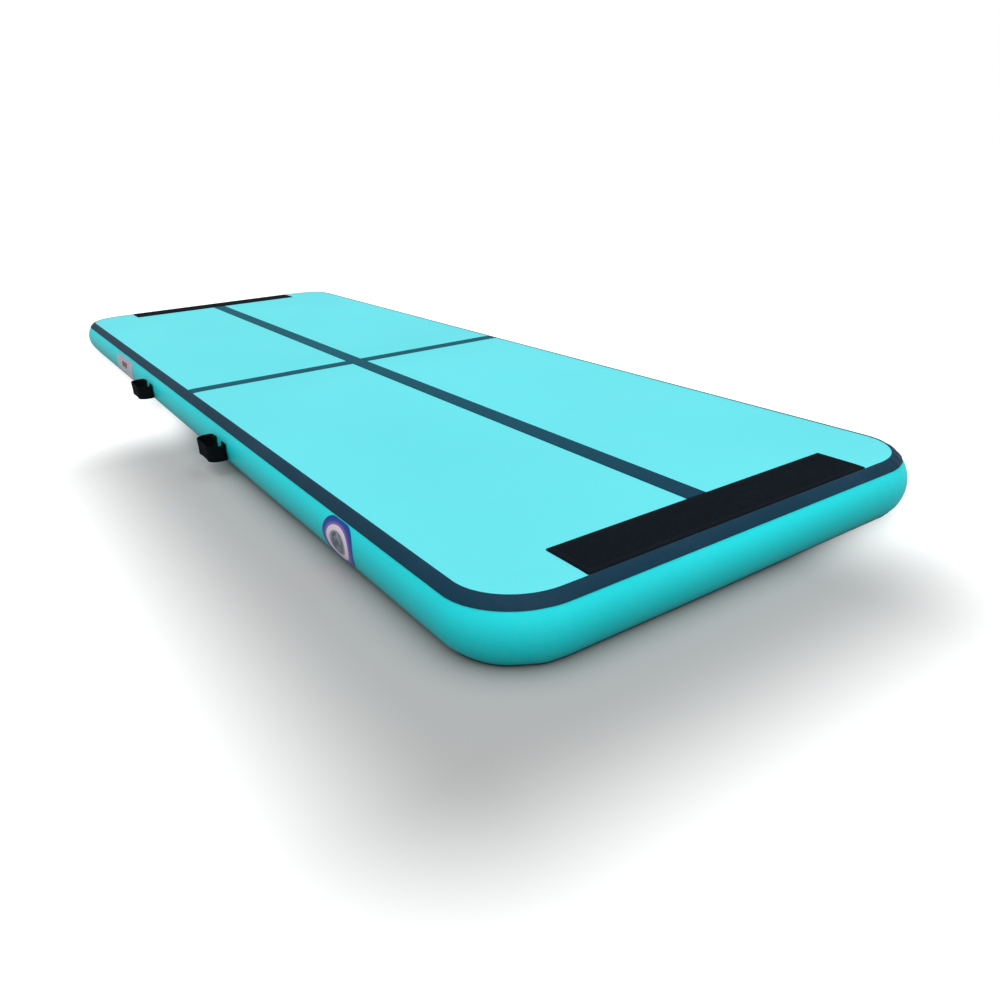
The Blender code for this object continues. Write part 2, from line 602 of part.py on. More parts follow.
def add_tether_and_cap(seat):
    """A soft collar round the flange carries a tether that swings open, with the cap turning in its eye."""
    collar = add_turned("tether_collar", ring(FLANGE_RADIUS + TOUCH_GAP, COLLAR_RADIUS, TOUCH_GAP, FLANGE_FACE),
                        "valve_rubber", add_pivot("collar_axis", seat))
    low = (TOUCH_GAP, -COLLAR_RADIUS - HINGE_REACH, -TETHER_WIDTH / 2)
    high = (FLANGE_FACE, -COLLAR_RADIUS + COLLAR_THICKNESS / 2, TETHER_WIDTH / 2)
    boolean(collar, helper(add_block("collar_tab", low, high, "valve_rubber", collar.parent)), "UNION")

    hinge_x = (TETHER_BACK + TETHER_FACE) / 2
    swing = add_pivot("tether_axis", seat + Vector((hinge_x, HINGE_Y, 0)))
    eye_offset = Vector((-hinge_x, -HINGE_Y, 0))
    eye = ring(CAP_NECK_RADIUS + TOUCH_GAP, CAP_RADIUS + TOUCH_GAP, TETHER_BACK, TETHER_FACE)
    tether = add_turned("cap_tether", eye, "valve_rubber", swing)
    tether.location = eye_offset
    low = (-TETHER_THICKNESS / 2, 0.0, -TETHER_WIDTH / 2)
    high = (TETHER_THICKNESS / 2, -HINGE_Y - CAP_NECK_RADIUS - 4 * TOUCH_GAP, TETHER_WIDTH / 2)
    strap = helper(add_block("tether_strap", low, high, "valve_rubber", swing))
    boolean(tether, strap, "UNION")

    turn = add_pivot("cap_axis", eye_offset, swing)
    plug_low = FLANGE_FACE - CAP_PLUG_DEPTH
    hollow = CAP_PLUG_RADIUS - CAP_PLUG_WALL
    rim = CAP_THICKNESS / 4
    top = CAP_BACK + CAP_THICKNESS
    cap_profile = [
        (0, TETHER_BACK), (hollow, TETHER_BACK), (hollow, plug_low), (CAP_PLUG_RADIUS, plug_low),
        (CAP_PLUG_RADIUS, TETHER_BACK), (CAP_NECK_RADIUS, TETHER_BACK), (CAP_NECK_RADIUS, CAP_BACK),
        (CAP_RADIUS, CAP_BACK), (CAP_RADIUS, top - rim), (CAP_RADIUS - rim, top), (0, top),
    ]
    cap = add_turned("valve_cap", cap_profile, "valve_plastic", turn)
    low = (top - rim, -CAP_KNOB_LENGTH / 2, -CAP_KNOB_WIDTH / 2)
    high = (top + CAP_KNOB_HEIGHT, CAP_KNOB_LENGTH / 2, CAP_KNOB_WIDTH / 2)
    boolean(cap, helper(add_block("cap_knob", low, high, "valve_plastic", turn)), "UNION")
    seal_low = plug_low + CAP_SEAL_WIDTH / 2
    seal = ring(CAP_PLUG_RADIUS + TOUCH_GAP, CAP_SEAL_RADIUS, seal_low, seal_low + CAP_SEAL_WIDTH)
    add_turned("cap_seal", seal, "valve_rubber", turn)


def add_valve():
    seat = valve_seat()
    pivot = add_pivot("valve_axis", seat)
    add_valve_seat_parts(pivot)
    add_valve_body(pivot)
    add_poppet(seat)
    add_tether_and_cap(seat)


def main():
    clear_scene()
    make_materials()
    add_skins()
    add_side_wall()
    add_tapes()
    add_drop_yarns()
    add_floor_lines()
    add_end_panels()
    add_side_patches()
    add_handles()
    add_valve()


main()
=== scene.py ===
"""Looks of the air track mat: skins, taped edges, floor lines, panels, handles, badges and valve.

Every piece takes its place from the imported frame. Metres, +Z up, +Y along the mat.
"""

from math import asin, atan2, cos, hypot, pi, radians, sin, sqrt, tau

import bmesh
import bpy
from mathutils import Matrix, Vector, noise


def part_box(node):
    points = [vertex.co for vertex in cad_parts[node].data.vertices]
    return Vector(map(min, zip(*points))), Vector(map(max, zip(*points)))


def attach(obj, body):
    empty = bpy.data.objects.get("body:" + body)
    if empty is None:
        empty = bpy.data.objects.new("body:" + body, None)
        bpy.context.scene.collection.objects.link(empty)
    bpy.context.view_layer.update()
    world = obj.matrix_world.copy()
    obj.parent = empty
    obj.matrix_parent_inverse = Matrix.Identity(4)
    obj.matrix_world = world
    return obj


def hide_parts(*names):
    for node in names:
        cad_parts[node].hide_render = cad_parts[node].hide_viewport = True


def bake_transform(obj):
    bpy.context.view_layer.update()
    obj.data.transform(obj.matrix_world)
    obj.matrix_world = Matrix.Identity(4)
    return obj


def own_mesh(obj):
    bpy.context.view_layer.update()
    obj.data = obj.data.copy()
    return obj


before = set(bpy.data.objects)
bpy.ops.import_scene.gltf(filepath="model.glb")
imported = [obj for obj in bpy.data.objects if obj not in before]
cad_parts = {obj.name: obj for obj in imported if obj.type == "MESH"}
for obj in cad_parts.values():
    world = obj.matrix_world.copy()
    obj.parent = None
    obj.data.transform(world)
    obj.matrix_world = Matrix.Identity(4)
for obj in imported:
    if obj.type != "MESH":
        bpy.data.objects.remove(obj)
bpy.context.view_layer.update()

# ------------------------ sizes read from the frame
_, wall_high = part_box("side_wall")
_, skin_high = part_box("top_skin")
upper_tape_low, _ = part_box("top_edge_tape")
_, lower_tape_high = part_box("bottom_edge_tape")

HALF_X = wall_high.x
HALF_Y = wall_high.y
HEIGHT = wall_high.z
HALF_HEIGHT = HEIGHT / 2
SKIN_SETBACK = 0.0010
CREASE_X = skin_high.x + SKIN_SETBACK
CREASE_Y = skin_high.y + SKIN_SETBACK
BULGE = HALF_X - CREASE_X
WALL_RADIUS = (BULGE**2 + HALF_HEIGHT**2) / (2 * BULGE)
WALL_CENTRE = BULGE - WALL_RADIUS
WALL_HALF_ANGLE = atan2(HALF_HEIGHT, -WALL_CENTRE)
CORNER_RADIUS = 0.1135
CORNER_X = CREASE_X - CORNER_RADIUS
CORNER_Y = CREASE_Y - CORNER_RADIUS
QUARTERS = ((1, 1, 0), (-1, 1, 1), (-1, -1, 2), (1, -1, 3))
WALL_THICKNESS = 0.0015
SKIN_THICKNESS = 0.0012
TAPE_THICKNESS = 0.0008
TAPE_LAP = 0.0045
UPPER_TAPE_LIFT = 0.0003
LOWER_TAPE_LIFT = 0.0009
UPPER_TAPE_EDGE = asin((upper_tape_low.z - HALF_HEIGHT) / (WALL_RADIUS + UPPER_TAPE_LIFT))
LOWER_TAPE_EDGE = asin((lower_tape_high.z - HALF_HEIGHT) / (WALL_RADIUS + LOWER_TAPE_LIFT))

SHOULDER_WIDTH = 0.030
SHOULDER_DROP = 0.0016
PUCKER_HEIGHT = 0.0009
PUCKER_RATE = 34.0
RIPPLE_HEIGHT = 0.0007
LAYER_GAP = 0.0002
LOWER_TAPE_FOOT = 0.0004
LOWER_TAPE_START = -asin((HALF_HEIGHT - LOWER_TAPE_FOOT) / (WALL_RADIUS + LAYER_GAP + TAPE_THICKNESS))
LINE_THICKNESS = 0.0007
LINE_CORNER = 0.0008
PANEL_THICKNESS = 0.0017
PANEL_CORNER = 0.004
PANEL_CROWN = 0.0003
PANEL_STITCH_INSETS = (0.005, 0.009)
PANEL_STITCH_PITCH = 0.0055
PANEL_STITCH = (0.0040, 0.00045)
FILM_THICKNESS = 0.0005
PATCH_LEAST_HALF = 0.0004
BARREL_HOLE_RADIUS = 0.0208

STRAP_THICKNESS = 0.0021
STRAP_ROWS = 11
STRAP_EDGE = 0.93
STRAP_EDGE_THINNING = 0.45
STRAP_CUP = 0.0012
STRAP_TAB = 0.036
STRAP_ROOT = 0.009
STRAP_BEND = 0.024
STRAP_STANDOFF = 0.0019
STRAP_END_GAP = 0.0012
STRAP_EDGE_GAP = 0.0011
STITCH_STANDOFF = 0.0031
HANDLE_WALL = HALF_X - RIPPLE_HEIGHT * 0.4
BOX_STITCH_PITCH = 0.0038
BOX_STITCH = (0.0028, 0.00038)
BOX_INSET = 0.004

SPRING_WIRE_RADIUS = 0.0004
SPRING_TURNS = 3
SPRING_STEPS_PER_TURN = 28

CORNER_STEPS = 28
SIDE_STEP = 0.018
WALL_STEPS = 30
STRIP_STEP = 0.012
CROWN_INSET = 0.006
PATCH_STEPS = 36
PATCH_ROWS = 24
SHARP_ANGLE = 50
WEAVE_PITCH = 0.0016
DIMPLE_PITCH = 0.009
GRAINS_PER_METRE = 420.0
LOOPS_PER_METRE = 640.0
WEBBING_RIB = 0.0021
WEBBING_PICK = 0.0013
WEBBING_TWILL = 0.0019
THREAD_TWIST = 0.0006

FLOOR_REACH = 40.0
# Floor colour in and out of its painted shadow, the glow outside it, and the painted shadow's middle,
# half size and fade.
FLOOR_NEAR = 0.46
FLOOR_FAR = 0.56
FLOOR_GLOW = 0.75
SHADE_CENTRE = (-0.25, -0.87)
SHADE_HALF = (0.32, 0.70)
SHADE_REACH = 0.40
SURROUND = 0.40
OVERHEAD = 1.75
FRONT_FILL = 0.50
BACKDROP = 1.25

# ------------------------ shader node groups


FLOAT = "NodeSocketFloat"
COLOUR = "NodeSocketColor"
WHITE = (1.0, 1.0, 1.0, 1.0)


class Group:
    """A shader node group being built: named inputs with defaults, named outputs, and its nodes."""

    def __init__(self, name, inputs, outputs):
        self.tree = bpy.data.node_groups.new(name, "ShaderNodeTree")
        for label, kind, default in inputs:
            socket = self.tree.interface.new_socket(label, in_out="INPUT", socket_type=kind)
            socket.default_value = default
        for label, kind in outputs:
            self.tree.interface.new_socket(label, in_out="OUTPUT", socket_type=kind)
        self.source = self.tree.nodes.new("NodeGroupInput")
        self.sink = self.tree.nodes.new("NodeGroupOutput")

    def value(self, label):
        return self.source.outputs[label]

    def give(self, label, socket):
        self.tree.links.new(socket, self.sink.inputs[label])


def feed(tree, socket, value):
    """Links value into socket, or sets it if it is a plain number or colour."""
    if isinstance(value, bpy.types.NodeSocket):
        tree.links.new(value, socket)
    elif isinstance(value, tuple) and len(value) == 3 and socket.type == "RGBA":
        socket.default_value = (*value, 1.0)
    else:
        socket.default_value = value


def maths(tree, operation, first, second=0.0, clamp=False):
    node = tree.nodes.new("ShaderNodeMath")
    node.operation = operation
    node.use_clamp = clamp
    feed(tree, node.inputs[0], first)
    feed(tree, node.inputs[1], second)
    return node.outputs[0]


def blend_colour(tree, share, first, second, mode="MIX"):
    node = tree.nodes.new("ShaderNodeMix")
    node.data_type = "RGBA"
    node.blend_type = mode
    feed(tree, node.inputs[0], share)
    feed(tree, node.inputs[6], first)
    feed(tree, node.inputs[7], second)
    return node.outputs[2]


def remap(tree, value, low, high, out_low=0.0, out_high=1.0):
    node = tree.nodes.new("ShaderNodeMapRange")
    feed(tree, node.inputs["Value"], value)
    node.inputs["From Min"].default_value = low
    node.inputs["From Max"].default_value = high
    node.inputs["To Min"].default_value = out_low
    node.inputs["To Max"].default_value = out_high
    return node.outputs["Result"]


def place(tree):
    """The point being shaded, in the mat's own metres."""
    return tree.nodes.new("ShaderNodeTexCoord").outputs["Object"]


def place_axes(tree):
    split = tree.nodes.new("ShaderNodeSeparateXYZ")
    tree.links.new(place(tree), split.inputs[0])
    return split.outputs


def scaled(tree, vector, scale):
    node = tree.nodes.new("ShaderNodeVectorMath")
    node.operation = "MULTIPLY"
    feed(tree, node.inputs[0], vector)
    node.inputs[1].default_value = scale
    return node.outputs[0]


def cloud(tree, vector, scale, detail=3.0, roughness=0.5):
    node = tree.nodes.new("ShaderNodeTexNoise")
    feed(tree, node.inputs["Vector"], vector)
    feed(tree, node.inputs["Scale"], scale)
    node.inputs["Detail"].default_value = detail
    node.inputs["Roughness"].default_value = roughness
    return node.outputs["Fac"]


def waves(tree, vector, axis, pitch):
    """A smooth ridge pattern along one axis, one ridge each pitch."""
    node = tree.nodes.new("ShaderNodeTexWave")
    node.wave_type = "BANDS"
    node.bands_direction = axis
    feed(tree, node.inputs["Vector"], vector)
    node.inputs["Scale"].default_value = pi / (10 * pitch)
    return node.outputs["Fac"]


def make_cloth_scrim():
    """The weave of the base cloth showing through a coating. Height is the relief."""
    group = Group(
        "cloth_scrim",
        [("Pitch Scale", FLOAT, 1.0)],
        [("Height", FLOAT)],
    )
    tree = group.tree
    node = tree.nodes.new("ShaderNodeVectorMath")
    node.operation = "SCALE"
    tree.links.new(place(tree), node.inputs[0])
    tree.links.new(group.value("Pitch Scale"), node.inputs["Scale"])
    across = waves(tree, node.outputs[0], "X", WEAVE_PITCH)
    along = waves(tree, node.outputs[0], "Y", WEAVE_PITCH)
    upward = waves(tree, node.outputs[0], "Z", WEAVE_PITCH)
    ridges = maths(tree, "MAXIMUM", across, maths(tree, "MAXIMUM", along, upward))
    group.give("Height", ridges)
    return group.tree


def make_handling_wear():
    """Faint dust and rubbed patches: a mask, and a colour and a roughness with the wear mixed in."""
    group = Group(
        "handling_wear",
        [
            ("Colour", COLOUR, WHITE),
            ("Roughness", FLOAT, 0.5),
            ("Amount", FLOAT, 0.3),
            ("Dust", COLOUR, (0.75, 0.74, 0.70, 1)),
        ],
        [("Colour", COLOUR), ("Roughness", FLOAT), ("Mask", FLOAT)],
    )
    tree = group.tree
    broad = remap(tree, cloud(tree, place(tree), 3.2, 5.0, 0.62), 0.45, 0.75)
    fine = remap(tree, cloud(tree, place(tree), 85.0, 4.0, 0.6), 0.42, 0.72)
    both = maths(tree, "MULTIPLY", broad, fine)
    mask = maths(tree, "MULTIPLY", both, group.value("Amount"), clamp=True)
    group.give("Mask", mask)
    group.give("Colour", blend_colour(tree, mask, group.value("Colour"), group.value("Dust")))
    lift = maths(tree, "MULTIPLY", mask, 0.35)
    group.give("Roughness", maths(tree, "ADD", group.value("Roughness"), lift, clamp=True))
    return group.tree


def make_tone_drift():
    """Slow change of shade over a large face, as coated cloth has from roll to roll."""
    group = Group(
        "tone_drift",
        [
            ("Colour", COLOUR, WHITE),
            ("Amount", FLOAT, 0.06),
            ("Scale", FLOAT, 2.0),
        ],
        [("Colour", COLOUR)],
    )
    tree = group.tree
    drift = remap(tree, cloud(tree, place(tree), group.value("Scale"), 2.0), 0.3, 0.7, -1.0, 1.0)
    level = maths(tree, "ADD", 1.0, maths(tree, "MULTIPLY", drift, group.value("Amount")))
    mix = tree.nodes.new("ShaderNodeVectorMath")
    mix.operation = "SCALE"
    tree.links.new(group.value("Colour"), mix.inputs[0])
    tree.links.new(level, mix.inputs["Scale"])
    group.give("Colour", mix.outputs[0])
    return group.tree


def make_webbing_weave():
    """Woven webbing: ribs along the strap and picks across it, from the strap's own UV in metres."""
    group = Group("webbing_weave", [], [("Height", FLOAT), ("Thread", FLOAT)])
    tree = group.tree
    uv = tree.nodes.new("ShaderNodeUVMap")
    uv.uv_map = "strap"
    ribs = waves(tree, uv.outputs["UV"], "Y", WEBBING_RIB)
    picks = waves(tree, uv.outputs["UV"], "X", WEBBING_PICK)
    twill = waves(tree, uv.outputs["UV"], "DIAGONAL", WEBBING_TWILL)
    height = 0.0
    for pattern, share in ((ribs, 0.55), (picks, 0.30), (twill, 0.15)):
        height = maths(tree, "ADD", height, maths(tree, "MULTIPLY", pattern, share))
    group.give("Height", height)
    group.give("Thread", maths(tree, "MULTIPLY", ribs, picks))
    return group.tree


GROUPS = {
    "scrim": make_cloth_scrim(),
    "wear": make_handling_wear(),
    "drift": make_tone_drift(),
    "webbing": make_webbing_weave(),
}


def use_group(tree, name, **values):
    node = tree.nodes.new("ShaderNodeGroup")
    node.node_tree = GROUPS[name]
    for label, value in values.items():
        feed(tree, node.inputs[label.replace("_", " ")], value)
    return node


# ------------------------ materials


def start_material(name, roughness=0.5, **constants):
    """A material with its Principled shader. Constants go straight onto the shader's own sockets."""
    material = bpy.data.materials.new(name)
    material.use_nodes = True
    tree = material.node_tree
    shader = tree.nodes["Principled BSDF"]
    shader.inputs["Roughness"].default_value = roughness
    for label, value in constants.items():
        shader.inputs[label.replace("_", " ")].default_value = value
    return material, tree, shader


def bump(tree, shader, height, distance, strength=1.0, under=None):
    node = tree.nodes.new("ShaderNodeBump")
    node.inputs["Distance"].default_value = distance
    node.inputs["Strength"].default_value = strength
    feed(tree, node.inputs["Height"], height)
    if under is not None:
        tree.links.new(under, node.inputs["Normal"])
    tree.links.new(node.outputs["Normal"], shader.inputs["Normal"])
    return node.outputs["Normal"]


def drifted(tree, colour, amount, scale):
    """A colour with slow tone drift over it."""
    return use_group(tree, "drift", Colour=colour, Amount=amount, Scale=scale).outputs["Colour"]


def scrim_bump(tree, shader, distance, strength, pitch=1.0):
    """Raises the base cloth's weave through the coating and gives its normal."""
    weave = use_group(tree, "scrim", Pitch_Scale=pitch)
    return bump(tree, shader, weave.outputs["Height"], distance, strength)


def wear_over(tree, shader, colour, **values):
    """Puts handling wear over a colour and gives both results to the shader."""
    worn = use_group(tree, "wear", Colour=colour, **values)
    tree.links.new(worn.outputs["Colour"], shader.inputs["Base Color"])
    tree.links.new(worn.outputs["Roughness"], shader.inputs["Roughness"])


def coated_cloth(name, colour, roughness, wear, relief, coat=0.12, drift=0.05):
    """Coated fabric: slow tone drift, dust, and the scrim's weave in the relief."""
    material, tree, shader = start_material(name, Coat_Weight=coat, Coat_Roughness=0.22)
    tone = drifted(tree, colour, drift, 1.7)
    wear_over(tree, shader, tone, Roughness=roughness, Amount=wear)
    weave = use_group(tree, "scrim", Pitch_Scale=1.0)
    soft = cloud(tree, place(tree), 60.0, 4.0)
    height = maths(tree, "ADD", weave.outputs["Height"], maths(tree, "MULTIPLY", soft, 1.5))
    bump(tree, shader, height, relief)
    return material


def deck_coating():
    """Embossed non-slip deck: small hide-like grain over faint dimples where the drop yarns pull."""
    material, tree, shader = start_material("deck_coating", Specular_IOR_Level=0.22)
    tone = drifted(tree, (0.138, 0.830, 0.900), 0.03, 1.3)
    wear_over(tree, shader, tone, Roughness=0.50, Amount=0.05)
    grain = tree.nodes.new("ShaderNodeTexVoronoi")
    grain.feature = "SMOOTH_F1"
    grain.inputs["Scale"].default_value = GRAINS_PER_METRE
    tree.links.new(place(tree), grain.inputs["Vector"])
    dimple_x = waves(tree, place(tree), "X", DIMPLE_PITCH)
    dimple_y = waves(tree, place(tree), "Y", DIMPLE_PITCH)
    dimples = maths(tree, "MULTIPLY", dimple_x, dimple_y)
    first = bump(tree, shader, dimples, 0.00012, 0.6)
    bump(tree, shader, grain.outputs["Distance"], 0.00018, 0.7, under=first)
    return material


def wall_coating():
    """Satin wall cloth, a little deeper in colour toward the underside: painted shade under the bulge.
    """
    material, tree, shader = start_material("wall_coating", Specular_IOR_Level=0.05)
    # Painted shade: the wall's colour is blended darker toward its foot, for the shade under its bulge.
    low = remap(tree, place_axes(tree)["Z"], 0.0, HALF_HEIGHT * 1.5, 1.0, 0.0)
    base = blend_colour(tree, low, (0.022, 0.780, 0.830), (0.0005, 0.360, 0.370))
    tone = drifted(tree, base, 0.04, 2.2)
    wear_over(tree, shader, tone, Roughness=0.34, Amount=0.06)
    first = scrim_bump(tree, shader, 0.00008, 0.55)
    bump(tree, shader, cloud(tree, place(tree), 26.0, 3.0), 0.0012, 0.35, under=first)
    return material


def edge_tape_coating():
    """Welded navy tape: satin, with the weave, soft roller waves and pale dust."""
    material, tree, shader = start_material("edge_tape_coating", Specular_IOR_Level=0.07)
    tone = drifted(tree, (0.0080, 0.0430, 0.0780), 0.10, 5.0)
    wear_over(tree, shader, tone, Roughness=0.42, Amount=0.10, Dust=(0.18, 0.22, 0.27))
    first = scrim_bump(tree, shader, 0.00007, 0.6, pitch=1.3)
    bump(tree, shader, cloud(tree, place(tree), 38.0, 4.0), 0.0009, 0.4, under=first)
    return material


def floor_line_coating():
    """Thin welded line, bluer than the edge tape, and paler and more teal from the front end toward the
    middle of the mat.
    """
    material, tree, shader = start_material("floor_line_coating", Specular_IOR_Level=0.03)
    # The colour shifts paler and more teal from the front end toward the middle of the mat.
    toward_middle = remap(tree, place_axes(tree)["Y"], -HALF_Y, 0.1)
    base = blend_colour(tree, toward_middle, (0.0065, 0.0460, 0.0880), (0.0045, 0.1050, 0.1500))
    tone = drifted(tree, base, 0.08, 4.0)
    wear_over(tree, shader, tone, Roughness=0.45, Amount=0.10, Dust=(0.03, 0.17, 0.23))
    scrim_bump(tree, shader, 0.00007, 0.6, pitch=1.3)
    return material


def loop_pile():
    """Black loop pile: fine tangled loops that hold no shine, darker between the loops as painted shade,
    with a little lint.
    """
    material, tree, shader = start_material("loop_pile", Specular_IOR_Level=0.05)
    curls = tree.nodes.new("ShaderNodeTexVoronoi")
    curls.feature = "F1"
    curls.inputs["Scale"].default_value = LOOPS_PER_METRE
    warped = tree.nodes.new("ShaderNodeVectorMath")
    warped.operation = "ADD"
    haze = tree.nodes.new("ShaderNodeTexNoise")
    haze.inputs["Scale"].default_value = 300.0
    tree.links.new(place(tree), haze.inputs["Vector"])
    tree.links.new(place(tree), warped.inputs[0])
    tree.links.new(scaled(tree, haze.outputs["Color"], (0.004, 0.004, 0.004)), warped.inputs[1])
    tree.links.new(warped.outputs[0], curls.inputs["Vector"])
    lift = remap(tree, curls.outputs["Distance"], 0.0, 0.7)
    # Painted shade: the pile is coloured darker away from the raised loops.
    base = blend_colour(tree, lift, (0.0085, 0.0125, 0.0185), (0.0040, 0.0070, 0.0110))
    wear_over(tree, shader, base, Roughness=0.92, Amount=0.05, Dust=(0.16, 0.17, 0.19))
    first = bump(tree, shader, curls.outputs["Distance"], -0.0007, 0.9)
    bump(tree, shader, cloud(tree, place(tree), 24.0, 5.0), 0.002, 0.25, under=first)
    return material


def webbing():
    """Black webbing, its threads paler where ribs and picks cross and darker between them as painted
    shade.
    """
    material, tree, shader = start_material("black_webbing", Specular_IOR_Level=0.04)
    weave = use_group(tree, "webbing")
    # Painted shade: the hollows of the weave take the darker colour.
    painted_hollow_shade = (0.0022, 0.0034, 0.0045)
    crest = (0.0080, 0.0105, 0.0130)
    base = blend_colour(tree, weave.outputs["Thread"], painted_hollow_shade, crest)
    wear_over(tree, shader, base, Roughness=0.78, Amount=0.06, Dust=(0.09, 0.09, 0.09))
    bump(tree, shader, weave.outputs["Height"], 0.00045, 0.9)
    return material


def thread(name, colour):
    """Twisted sewing thread, darker in the grooves of its twist as painted shade."""
    material, tree, shader = start_material(name, 0.62, Specular_IOR_Level=0.2)
    twist = waves(tree, place(tree), "DIAGONAL", THREAD_TWIST)
    # Painted shade: the grooves of the twist are coloured darker.
    painted_hollow_shade = tuple(channel * 0.6 for channel in colour)
    tree.links.new(blend_colour(tree, twist, painted_hollow_shade, colour), shader.inputs["Base Color"])
    bump(tree, shader, twist, 0.0001, 0.8)
    return material


def moulded(name, colour, roughness, grain, wear=0.08, coat=0.0):
    """Moulded plastic or rubber with a fine grain."""
    material, tree, shader = start_material(name, Coat_Weight=coat, Coat_Roughness=0.25)
    tone = drifted(tree, colour, 0.10, 40.0)
    pale = (0.30, 0.30, 0.30)
    wear_over(tree, shader, tone, Roughness=roughness, Amount=wear, Dust=pale)
    bump(tree, shader, cloud(tree, place(tree), 1500.0, 3.0), grain, 0.6)
    return material


def drawn_wire():
    """Bright spring wire with fine streaks."""
    material, tree, shader = start_material("drawn_wire", Metallic=1.0)
    streak = cloud(tree, scaled(tree, place(tree), (200.0, 4000.0, 4000.0)), 1.0, 3.0)
    tint = blend_colour(tree, streak, (0.50, 0.50, 0.52), (0.68, 0.68, 0.70))
    tree.links.new(tint, shader.inputs["Base Color"])
    tree.links.new(remap(tree, streak, 0.2, 0.8, 0.20, 0.38), shader.inputs["Roughness"])
    return material


def woven_base():
    """The undyed polyester cloth and yarns inside the chamber, darker in the weave's hollows as painted
    shade.
    """
    material, tree, shader = start_material("woven_base", 0.85, Sheen_Weight=0.1)
    weave = use_group(tree, "scrim", Pitch_Scale=2.0)
    height = weave.outputs["Height"]
    # Painted shade: the low parts of the weave are tinted darker.
    tint = blend_colour(tree, height, (0.52, 0.54, 0.54), (0.80, 0.81, 0.80))
    tree.links.new(tint, shader.inputs["Base Color"])
    bump(tree, shader, height, 0.0002, 0.8)
    return material


def patch_uv(tree):
    """The two coordinates of a wall patch, each from -1 to 1."""
    uv = tree.nodes.new("ShaderNodeUVMap")
    uv.uv_map = "patch"
    split = tree.nodes.new("ShaderNodeSeparateXYZ")
    tree.links.new(uv.outputs["UV"], split.inputs[0])
    return split.outputs["X"], split.outputs["Y"]


def ring_badge():
    """Printed badge film: nested oval rings round a grey clouded middle."""
    material, tree, shader = start_material("ring_badge", 0.30, Specular_IOR_Level=0.12)
    squares = [maths(tree, "POWER", along, 2.0) for along in patch_uv(tree)]
    radius = maths(tree, "SQRT", maths(tree, "ADD", *squares))
    ramp = tree.nodes.new("ShaderNodeValToRGB")
    ramp.color_ramp.interpolation = "LINEAR"
    bands = (
        (0.00, (0.030, 0.045, 0.065)), (0.40, (0.075, 0.10, 0.14)), (0.49, (0.36, 0.34, 0.42)),
        (0.53, (0.80, 0.68, 0.78)), (0.71, (0.82, 0.70, 0.82)), (0.74, (0.28, 0.13, 0.40)),
        (0.82, (0.17, 0.11, 0.45)), (0.86, (0.030, 0.070, 0.40)), (1.00, (0.010, 0.055, 0.30)),
    )
    elements = ramp.color_ramp.elements
    while len(elements) < len(bands):
        elements.new(1.0)
    for element, (position, colour) in zip(elements, bands):
        element.position = position
        element.color = (*colour, 1.0)
    tree.links.new(radius, ramp.inputs["Fac"])
    mottle = remap(tree, cloud(tree, place(tree), 70.0, 3.0), 0.40, 0.62)
    inside = remap(tree, radius, 0.50, 0.40)
    share = maths(tree, "MULTIPLY", mottle, inside, clamp=True)
    clouded = blend_colour(tree, share, ramp.outputs["Color"], (0.30, 0.34, 0.40))
    tree.links.new(clouded, shader.inputs["Base Color"])
    scrim_bump(tree, shader, 0.00004, 0.4)
    return material


def plain_label():
    """Printed label, its pale colour darkened as painted shade, with one small dark red block near its
    upper edge.
    """
    material, tree, shader = start_material("plain_label", 0.32, Specular_IOR_Level=0.12)
    u, v = patch_uv(tree)
    beside = maths(tree, "ABSOLUTE", maths(tree, "SUBTRACT", u, -0.05))
    above = maths(tree, "ABSOLUTE", maths(tree, "SUBTRACT", v, 0.34))
    inside_u = maths(tree, "LESS_THAN", beside, 0.30)
    inside_v = maths(tree, "LESS_THAN", above, 0.24)
    block = maths(tree, "MULTIPLY", inside_u, inside_v)
    # Painted shade: the label's pale colour is set darker, for the shade it sits in on the wall.
    tone = drifted(tree, (0.46, 0.47, 0.56), 0.05, 20.0)
    marked = blend_colour(tree, block, tone, (0.16, 0.012, 0.025))
    tree.links.new(marked, shader.inputs["Base Color"])
    scrim_bump(tree, shader, 0.00005, 0.5)
    return material


FINISHES = {
    "deck": deck_coating(),
    "wall": wall_coating(),
    "tape": edge_tape_coating(),
    "line": floor_line_coating(),
    "underside": coated_cloth("underside_coating", (0.22, 0.25, 0.27), 0.62, 0.45, 0.00025, coat=0.0),
    "seam": coated_cloth("inner_seam_coating", (0.020, 0.520, 0.560), 0.45, 0.05, 0.0001),
    "boot": coated_cloth("valve_boot_coating", (0.012, 0.470, 0.510), 0.36, 0.10, 0.00012, coat=0.3),
    "pile": loop_pile(),
    "webbing": webbing(),
    "black_thread": thread("black_thread", (0.020, 0.022, 0.026)),
    "badge": ring_badge(),
    "label": plain_label(),
    "plastic": moulded("valve_plastic_finish", (0.040, 0.046, 0.054), 0.38, 0.00006, coat=0.10),
    "rubber": moulded("valve_rubber_finish", (0.016, 0.016, 0.017), 0.66, 0.00010),
    "wire": drawn_wire(),
    "base_cloth": woven_base(),
}

# ------------------------ making pieces


def add_piece(name, bm, finish, body):
    """One shown piece from a bmesh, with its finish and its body."""
    bmesh.ops.recalc_face_normals(bm, faces=bm.faces)
    mesh = bpy.data.meshes.new(name)
    bm.to_mesh(mesh)
    bm.free()
    mesh.shade_smooth()
    mesh.set_sharp_from_angle(angle=radians(SHARP_ANGLE))
    mesh.materials.append(FINISHES[finish])
    piece = bpy.data.objects.new(name, mesh)
    bpy.context.scene.collection.objects.link(piece)
    if body:
        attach(piece, body)
    return piece


def finish_node(node, finish):
    """Gives a carried-over CAD node its material."""
    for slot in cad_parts[node].material_slots:
        slot.material = FINISHES[finish]


